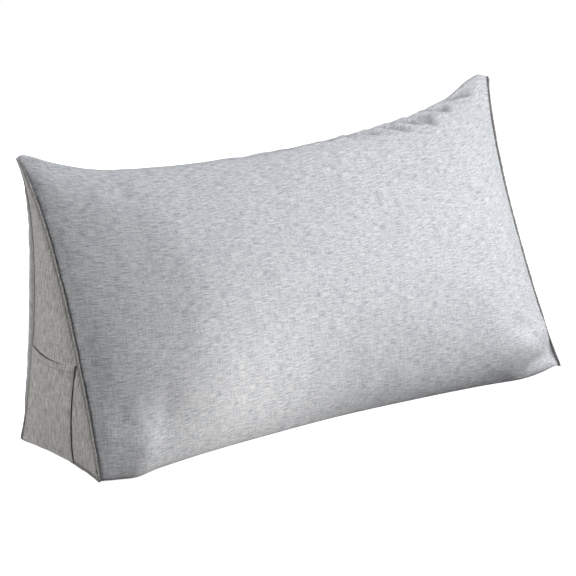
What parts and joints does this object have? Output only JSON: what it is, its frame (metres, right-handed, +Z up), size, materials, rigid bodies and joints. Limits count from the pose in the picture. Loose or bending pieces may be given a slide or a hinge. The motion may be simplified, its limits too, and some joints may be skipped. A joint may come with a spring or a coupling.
{
  "type": "backrest pillow",
  "caption": "Long wedge-shaped backrest pillow, stuffed tight, with triangular end gussets and a patch pocket on its left end.",
  "frame": {"origin": "on the floor below the middle of the whole pillow", "axes": "+X along the length, from the pocket's end to the plain end; +Y towards the upright back; +Z up"},
  "size_m": [1.0168, 0.301, 0.4951],
  "materials": {
    "front_cloth": "light grey melange linen-look weave, matt",
    "gusset_cloth": "light warm grey melange linen-look weave, matt",
    "pocket_cloth": "light warm grey melange linen-look weave, matt"
  },
  "bodies": {
    "root": {"cushion_body": "front_cloth", "gusset_left": "gusset_cloth", "gusset_right": "gusset_cloth", "pocket_left": "pocket_cloth"}
  },
  "joints": []
}
